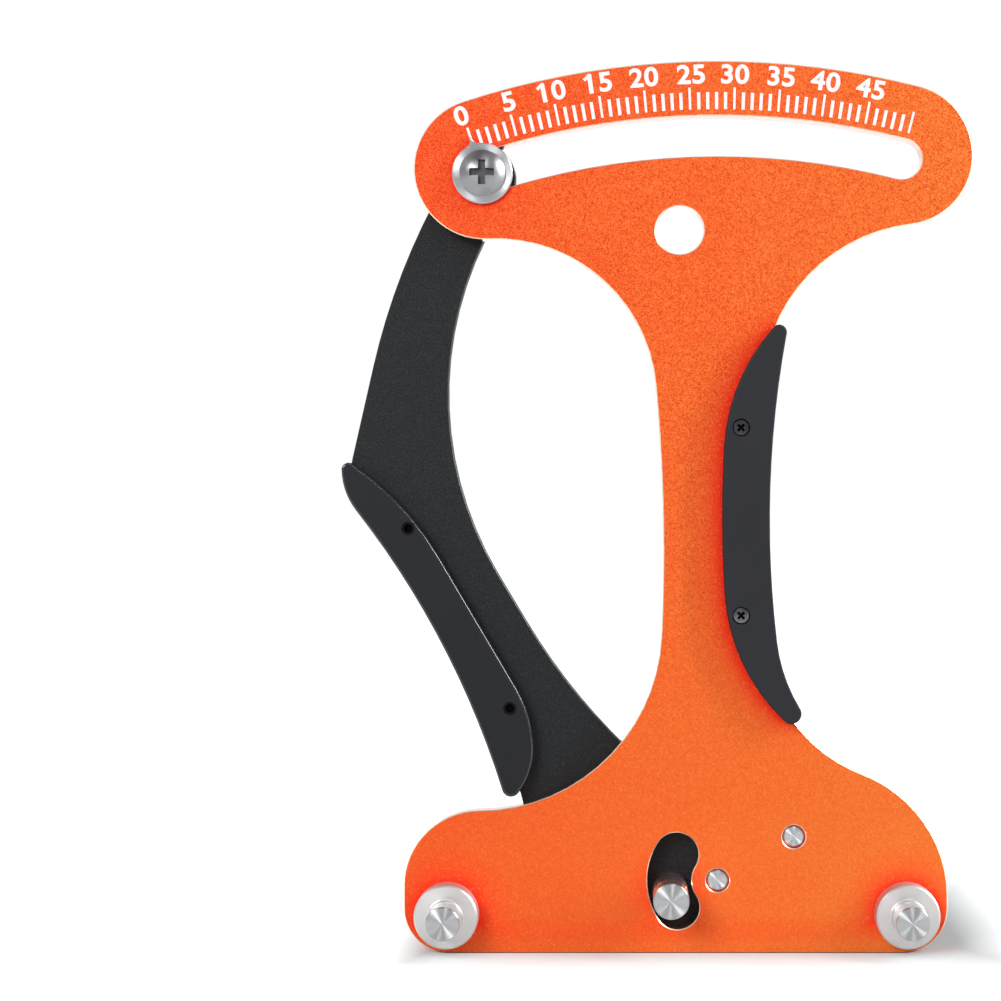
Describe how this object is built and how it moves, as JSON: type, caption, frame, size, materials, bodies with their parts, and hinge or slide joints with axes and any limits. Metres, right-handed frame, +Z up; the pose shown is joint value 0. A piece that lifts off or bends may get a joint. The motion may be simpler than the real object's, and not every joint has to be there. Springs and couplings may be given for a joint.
{
  "type": "spoke tension meter",
  "caption": "Hand-held squeeze-lever gauge that bends a wheel spoke across its posts and shows the tension on an arc dial.",
  "frame": {"origin": "on the bottom edge of the body plate, midway between the fixed posts and in the middle of the plate's thickness", "axes": "+X to the right as the dial is read, +Y from the dial side to the back, +Z up along the waist"},
  "size_m": [0.1436, 0.0333, 0.2024],
  "materials": {
    "orange_anodised": "blasted and anodised orange",
    "scale_print": "white print",
    "turned_aluminium": "fine turned ends, satin sides",
    "black_anodised": "blasted and anodised black",
    "grip_plastic": "satin moulded charcoal",
    "black_screw": "blackened",
    "insert_brass": "turned",
    "insert_black": "blackened",
    "bright_steel": "turned and polished",
    "zinc_steel": "zinc plated",
    "nylon": "natural nylon",
    "snap_ring_steel": "phosphated",
    "spring_steel": "bright drawn wire"
  },
  "bodies": {
    "body": {"body_plate": "orange_anodised", "scale_marks": "scale_print", "left_post": "turned_aluminium", "right_post": "turned_aluminium", "body_grip_front": "grip_plastic", "body_grip_back": "grip_plastic", "body_grip_screws": "black_screw", "body_grip_inserts": "insert_brass", "pivot_pin": "bright_steel", "pivot_washer": "nylon", "pivot_clip": "snap_ring_steel", "anchor_pin": "bright_steel", "anchor_clip": "snap_ring_steel"},
    "lever": {"lever_arm": "black_anodised", "moving_post": "turned_aluminium", "lever_grip_front": "grip_plastic", "lever_grip_back": "grip_plastic", "lever_grip_screws": "black_screw", "lever_grip_inserts": "insert_black", "pointer_washer": "bright_steel", "pointer_screw": "bright_steel", "slot_bush": "nylon", "pointer_lock_washer": "zinc_steel", "pointer_nut": "zinc_steel", "trunnion_pin": "bright_steel"},
    "spring_rod": {"spring_rod": "zinc_steel", "adjuster_nut": "zinc_steel", "lock_nut": "zinc_steel", "spring_seat": "zinc_steel", "end_nut": "zinc_steel", "return_spring": "spring_steel"},
    "spring_block": {"spring_block": "turned_aluminium"}
  },
  "joints": [
    {"name": "lever_pivot", "type": "hinge", "parent": "body", "child": "lever", "pos_m": [0.0093, 0, 0.0165], "axis": [0, 1, 0], "range_deg": [0, 32.7], "stiffness_Nm_per_rad": 0.9, "springref_deg": -34.38, "deforming": ["return_spring"]},
    {"name": "rod_swivel", "type": "hinge", "parent": "body", "child": "spring_rod", "pos_m": [0.0266, 0, 0.0264], "axis": [0, 1, 0], "range_deg": [0, 17.55]},
    {"name": "block_swivel", "type": "hinge", "parent": "lever", "child": "spring_block", "pos_m": [-0.0047, 0, 0.0325], "axis": [0, 1, 0], "range_deg": [-15.17, 0]}
  ],
  "couplings": [
    {"joint": "rod_swivel", "follows": "lever_pivot", "ratio": 0.53636},
    {"joint": "block_swivel", "follows": "lever_pivot", "ratio": -0.46364}
  ]
}
